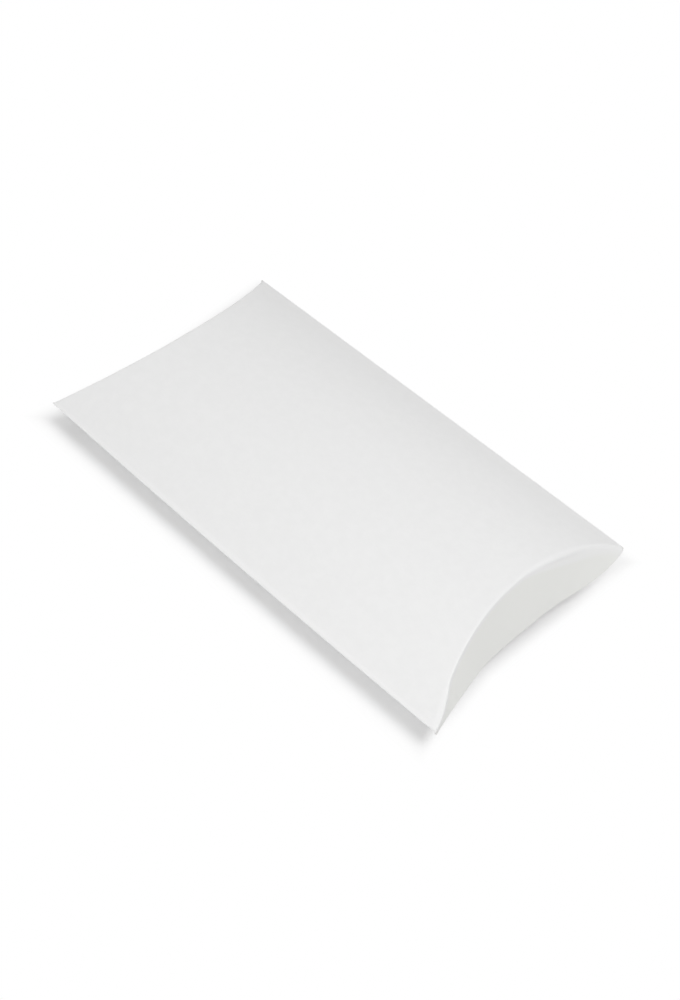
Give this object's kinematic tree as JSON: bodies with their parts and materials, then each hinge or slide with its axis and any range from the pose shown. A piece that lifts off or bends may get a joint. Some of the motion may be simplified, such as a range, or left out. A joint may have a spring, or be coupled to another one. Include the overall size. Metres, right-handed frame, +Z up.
{
  "type": "pillow box",
  "caption": "Small white card pillow box: two bowed panels joined along straight side folds, with curved tuck flaps that close both ends around a lens-shaped hollow.",
  "frame": {"origin": "middle of the flat strip that the box rests on, on the table", "axes": "+X along the side folds to the end that faces the camera in the picture, +Y across the folds to the glued seam, +Z up"},
  "size_m": [0.127, 0.075, 0.0192],
  "materials": {
    "card": "smooth uncoated white board, matt, with a faint sheen on the folds",
    "glue": "dried white glue, slightly translucent and satin"
  },
  "bodies": {
    "sleeve": {"top_panel": "card", "bottom_panel": "card", "side_fold": "card", "seam_fold": "card", "glue_flap": "card", "glue_strip": "glue"},
    "front_outer": {"front_outer_flap": "card"},
    "front_inner": {"front_inner_flap": "card"},
    "rear_outer": {"rear_outer_flap": "card"},
    "rear_inner": {"rear_inner_flap": "card"}
  },
  "joints": [
    {"name": "front_outer_hinge", "type": "hinge", "parent": "sleeve", "child": "front_outer", "pos_m": [0.0539, 0, 0.0192], "axis": [0, -1, 0], "range_deg": [0, 71]},
    {"name": "front_inner_hinge", "type": "hinge", "parent": "sleeve", "child": "front_inner", "pos_m": [0.05312, 0, 0], "axis": [0, 1, 0], "range_deg": [0, 35.5]},
    {"name": "rear_outer_hinge", "type": "hinge", "parent": "sleeve", "child": "rear_outer", "pos_m": [-0.0539, 0, 0.0192], "axis": [0, 1, 0], "range_deg": [0, 71]},
    {"name": "rear_inner_hinge", "type": "hinge", "parent": "sleeve", "child": "rear_inner", "pos_m": [-0.05312, 0, 0], "axis": [0, -1, 0], "range_deg": [0, 35.5]}
  ],
  "couplings": [
    {"joint": "front_inner_hinge", "follows": "front_outer_hinge", "ratio": 0.5},
    {"joint": "rear_inner_hinge", "follows": "rear_outer_hinge", "ratio": 0.5}
  ]
}
